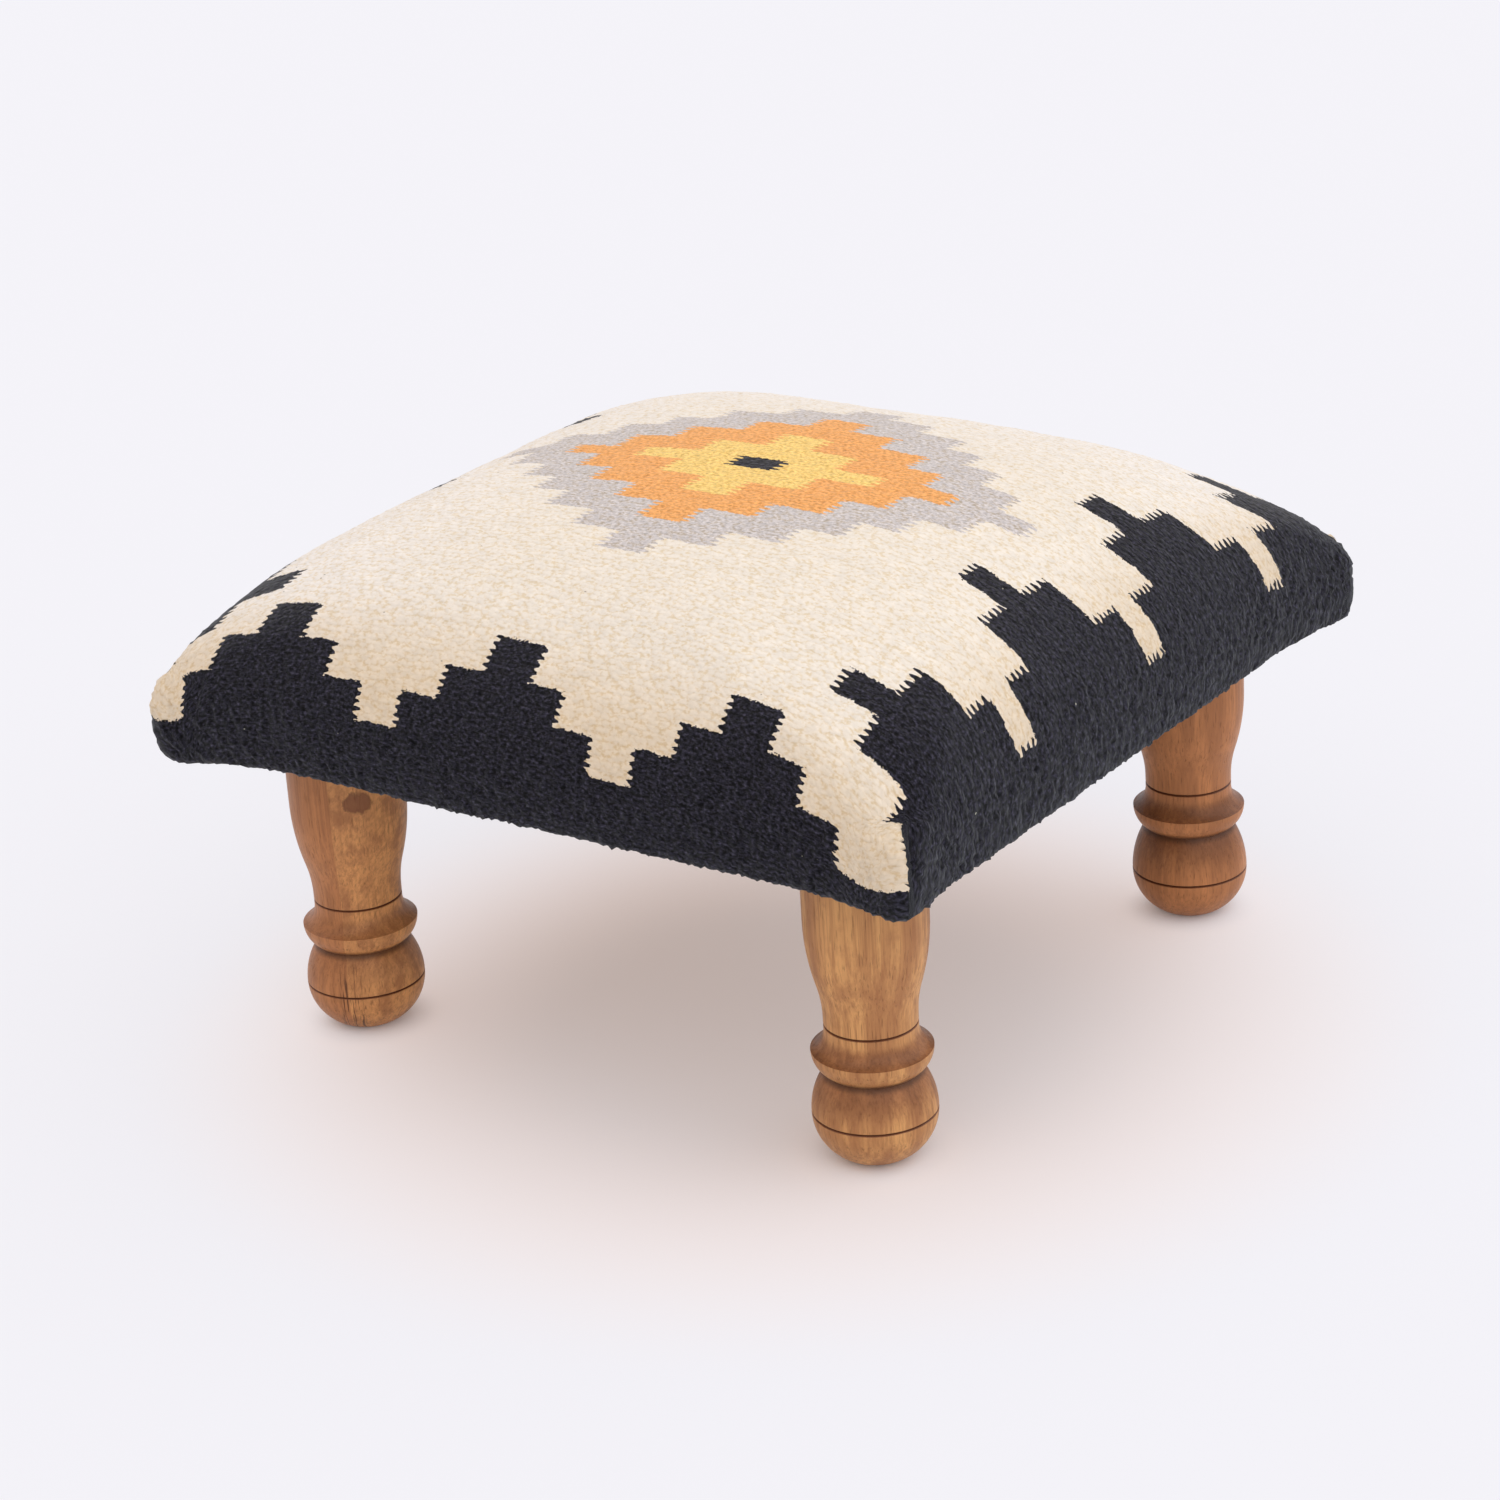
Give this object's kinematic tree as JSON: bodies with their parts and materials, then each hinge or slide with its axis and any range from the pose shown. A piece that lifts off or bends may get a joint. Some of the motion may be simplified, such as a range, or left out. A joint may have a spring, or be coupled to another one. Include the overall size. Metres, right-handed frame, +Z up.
{
  "type": "footstool",
  "caption": "Low square footstool with a crowned pad under a flat-woven kilim cover with a stepped medallion and border, on turned hardwood legs.",
  "frame": {"origin": "on the floor, under the middle of the pad", "axes": "+Z up; the front edge of the pad faces -Y and the right edge faces +X"},
  "size_m": [0.366, 0.366, 0.2275],
  "materials": {
    "kilim": "flat-woven wool and cotton, cream field with black, grey, orange and yellow steps",
    "wadding": "carded white fibre",
    "foam": "open-cell upholstery foam",
    "plywood": "raw plywood",
    "softwood": "planed softwood, raw",
    "oiled_hardwood": "turned hardwood, oiled, semi-matte",
    "zinc_steel": "zinc-plated steel",
    "lining_cloth": "black non-woven bottoming cloth"
  },
  "bodies": {
    "root": {"board_screws": "zinc_steel", "bottom_lining": "lining_cloth", "cover_staples": "zinc_steel", "foam_pad": "foam", "front_left_leg": "oiled_hardwood", "front_rail": "softwood", "front_right_leg": "oiled_hardwood", "hanger_bolts": "zinc_steel", "kilim_cover": "kilim", "lap_screws": "zinc_steel", "left_rail": "softwood", "lining_staples": "zinc_steel", "rear_left_leg": "oiled_hardwood", "rear_rail": "softwood", "rear_right_leg": "oiled_hardwood", "right_rail": "softwood", "seat_board": "plywood", "tee_nuts": "zinc_steel", "wadding": "wadding"}
  },
  "joints": []
}
